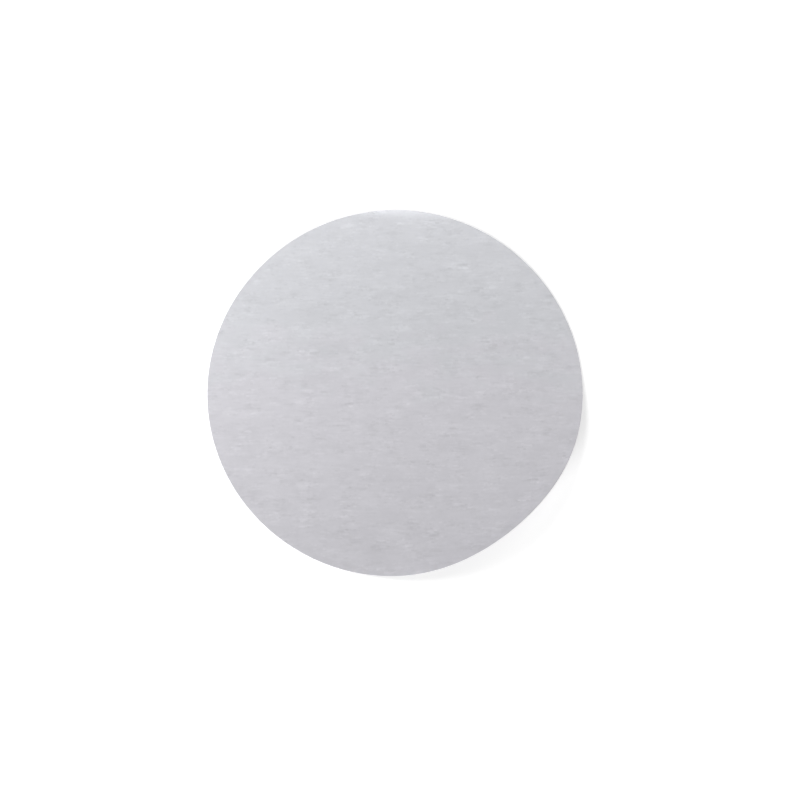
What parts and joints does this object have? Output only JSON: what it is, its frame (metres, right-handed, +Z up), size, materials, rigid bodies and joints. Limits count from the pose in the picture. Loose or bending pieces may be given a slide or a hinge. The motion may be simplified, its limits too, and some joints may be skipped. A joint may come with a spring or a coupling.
{
  "type": "filter paper disc",
  "caption": "Round laboratory filter paper lying on a bench: one thin sheet with a flat middle, two slowly curled sides and a small upturned lip at the back edge.",
  "frame": {"origin": "on the underside of the flat middle, below the centre that the disc has when laid flat; the bench is the plane z = 0", "axes": "+Z up, away from the bench; +Y towards the back, where the lip turns up; +X to the right, as seen from the front"},
  "size_m": [0.11, 0.1098, 0.0062],
  "materials": {
    "paper": "matt uncoated cotton fibre paper, cool white, with fine streaks of fibre"
  },
  "bodies": {
    "root": {"paper_disc": "paper"}
  },
  "joints": []
}
